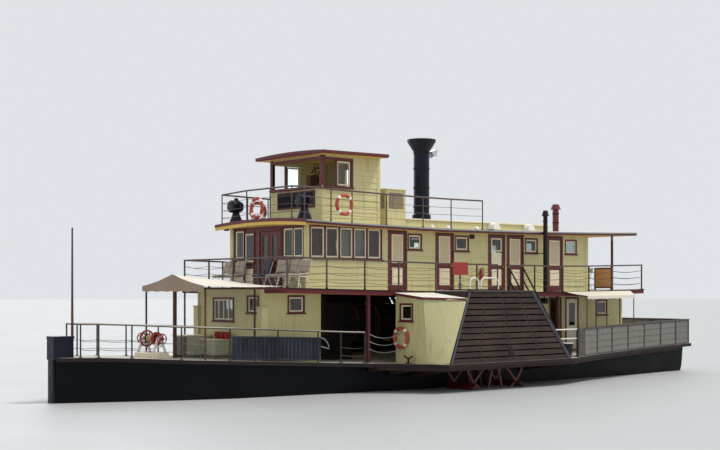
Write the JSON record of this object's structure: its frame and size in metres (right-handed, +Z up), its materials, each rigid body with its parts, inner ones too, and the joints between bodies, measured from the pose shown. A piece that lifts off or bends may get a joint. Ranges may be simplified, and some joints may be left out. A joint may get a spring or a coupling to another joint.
{
  "type": "side-wheel paddle steamer",
  "caption": "River side-wheel paddle steamer with slatted paddle boxes, cream weatherboard cabins, wheelhouse, funnel, decks, rails and awnings.",
  "frame": {"origin": "mid-length and mid-beam, on the underside of the flat bottom", "axes": "+X towards the stern, +Y to starboard, +Z up; the waterline is at z = 1.0 m"},
  "size_m": [27.1, 10.2, 9.72],
  "materials": {
    "hull_black": "worn satin paint",
    "stem_navy": "worn satin paint",
    "deck_planking": "weathered planks",
    "guard_timber": "weathered brown paint",
    "iron": "dull black",
    "wheel_red": "worn red paint",
    "slat_brown": "weathered dark brown boards",
    "wall_cream": "painted weatherboard, satin",
    "trim_maroon": "painted joinery, satin",
    "joinery_white": "painted joinery, satin",
    "roof_grey": "painted canvas over boards",
    "funnel_black": "heat-proof matte paint",
    "rail_paint": "worn gloss paint",
    "bulwark_cream": "weathered painted boards",
    "canvas": "white awning canvas",
    "gangplank_grey": "weathered grey boards",
    "window_glass": "clear window glass",
    "buoy_orange": "painted canvas ring"
  },
  "bodies": {
    "root": {"hull": "hull_black", "stem_post": "stem_navy", "main_deck": "deck_planking", "paddle_guard_port": "guard_timber", "paddle_guard_starboard": "guard_timber", "paddle_box_port": "slat_brown", "paddle_box_starboard": "slat_brown", "sponson_house_port": "wall_cream", "sponson_house_starboard": "wall_cream", "fore_deckhouse": "wall_cream", "aft_deckhouse": "wall_cream", "boiler": "iron", "upper_deck": "trim_maroon", "cabin_side_port": "wall_cream", "cabin_side_starboard": "wall_cream", "cabin_front": "trim_maroon", "cabin_aft": "wall_cream", "cabin_roof": "roof_grey", "wheelhouse": "wall_cream", "wheelhouse_roof": "roof_grey", "helm_stand": "guard_timber", "skylight": "wall_cream", "funnel": "funnel_black", "stovepipe": "iron", "galley_flue": "trim_maroon", "bow_rail": "rail_paint", "fore_upper_rail": "rail_paint", "aft_upper_rail": "rail_paint", "roof_rail": "rail_paint", "stern_bulwark": "bulwark_cream", "stair_port": "iron", "stair_starboard": "iron", "fore_awning": "canvas", "awning_frame": "guard_timber", "aft_awning_port": "canvas", "aft_awning_starboard": "canvas", "windlass": "wheel_red", "deck_locker": "joinery_white", "gangplank": "gangplank_grey"},
    "paddle_wheels": {"paddle_shaft": "iron", "paddle_wheel_port": "wheel_red", "paddle_wheel_starboard": "wheel_red"},
    "rudder": {"rudder": "iron"},
    "helm": {"helm": "iron"},
    "cabin_door_1_port": {"cabin_door_1_port": "trim_maroon"},
    "cabin_door_1_starboard": {"cabin_door_1_starboard": "trim_maroon"},
    "cabin_door_2_port": {"cabin_door_2_port": "trim_maroon"},
    "cabin_door_2_starboard": {"cabin_door_2_starboard": "trim_maroon"},
    "cabin_door_3_port": {"cabin_door_3_port": "trim_maroon"},
    "cabin_door_3_starboard": {"cabin_door_3_starboard": "trim_maroon"},
    "cabin_door_4_port": {"cabin_door_4_port": "trim_maroon"},
    "cabin_door_4_starboard": {"cabin_door_4_starboard": "trim_maroon"},
    "cabin_door_5_port": {"cabin_door_5_port": "trim_maroon"},
    "cabin_door_5_starboard": {"cabin_door_5_starboard": "trim_maroon"},
    "aft_door_port": {"aft_door_port": "joinery_white"},
    "aft_door_starboard": {"aft_door_starboard": "joinery_white"},
    "saloon_door_port": {"saloon_door_port": "trim_maroon"},
    "saloon_door_starboard": {"saloon_door_starboard": "trim_maroon"}
  },
  "joints": [
    {"name": "paddle_wheels_turn", "type": "hinge", "parent": "root", "child": "paddle_wheels", "pos_m": [0.41, 0, 2.22], "axis": [0, 1, 0], "continuous": true},
    {"name": "rudder_turn", "type": "hinge", "parent": "root", "child": "rudder", "pos_m": [11.74, 0, 0.5], "axis": [0, 0, 1], "range_deg": [-35, 35]},
    {"name": "helm_turn", "type": "hinge", "parent": "root", "child": "helm", "pos_m": [-3.76, 0, 8.01], "axis": [1, 0, 0], "range_deg": [-355, 355]},
    {"name": "cabin_door_1_port_swing", "type": "hinge", "parent": "root", "child": "cabin_door_1_port", "pos_m": [-2.348, -2.08, 5.2], "axis": [0, 0, -1], "range_deg": [0, 95]},
    {"name": "cabin_door_1_starboard_swing", "type": "hinge", "parent": "root", "child": "cabin_door_1_starboard", "pos_m": [-2.348, 2.08, 5.2], "axis": [0, 0, 1], "range_deg": [0, 95]},
    {"name": "cabin_door_2_port_swing", "type": "hinge", "parent": "root", "child": "cabin_door_2_port", "pos_m": [-0.178, -2.08, 5.2], "axis": [0, 0, -1], "range_deg": [0, 95]},
    {"name": "cabin_door_2_starboard_swing", "type": "hinge", "parent": "root", "child": "cabin_door_2_starboard", "pos_m": [-0.178, 2.08, 5.2], "axis": [0, 0, 1], "range_deg": [0, 95]},
    {"name": "cabin_door_3_port_swing", "type": "hinge", "parent": "root", "child": "cabin_door_3_port", "pos_m": [2.402, -2.08, 5.2], "axis": [0, 0, -1], "range_deg": [0, 95]},
    {"name": "cabin_door_3_starboard_swing", "type": "hinge", "parent": "root", "child": "cabin_door_3_starboard", "pos_m": [2.402, 2.08, 5.2], "axis": [0, 0, 1], "range_deg": [0, 95]},
    {"name": "cabin_door_4_port_swing", "type": "hinge", "parent": "root", "child": "cabin_door_4_port", "pos_m": [4.108, -2.08, 5.2], "axis": [0, 0, 1], "range_deg": [0, 95]},
    {"name": "cabin_door_4_starboard_swing", "type": "hinge", "parent": "root", "child": "cabin_door_4_starboard", "pos_m": [4.108, 2.08, 5.2], "axis": [0, 0, -1], "range_deg": [0, 95]},
    {"name": "cabin_door_5_port_swing", "type": "hinge", "parent": "root", "child": "cabin_door_5_port", "pos_m": [5.512, -2.08, 5.2], "axis": [0, 0, -1], "range_deg": [0, 95]},
    {"name": "cabin_door_5_starboard_swing", "type": "hinge", "parent": "root", "child": "cabin_door_5_starboard", "pos_m": [5.512, 2.08, 5.2], "axis": [0, 0, 1], "range_deg": [0, 95]},
    {"name": "aft_door_port_swing", "type": "hinge", "parent": "root", "child": "aft_door_port", "pos_m": [6.552, -2.1, 2.98], "axis": [0, 0, -1], "range_deg": [0, 95]},
    {"name": "aft_door_starboard_swing", "type": "hinge", "parent": "root", "child": "aft_door_starboard", "pos_m": [6.552, 2.1, 2.98], "axis": [0, 0, 1], "range_deg": [0, 95]},
    {"name": "saloon_door_port_swing", "type": "hinge", "parent": "root", "child": "saloon_door_port", "pos_m": [-5.86, -0.71, 5.2], "axis": [0, 0, 1], "range_deg": [0, 95]},
    {"name": "saloon_door_starboard_swing", "type": "hinge", "parent": "root", "child": "saloon_door_starboard", "pos_m": [-5.86, 0.375, 5.2], "axis": [0, 0, -1], "range_deg": [0, 95]}
  ],
  "couplings": [
    {"joint": "helm_turn", "follows": "rudder_turn", "ratio": 10}
  ]
}
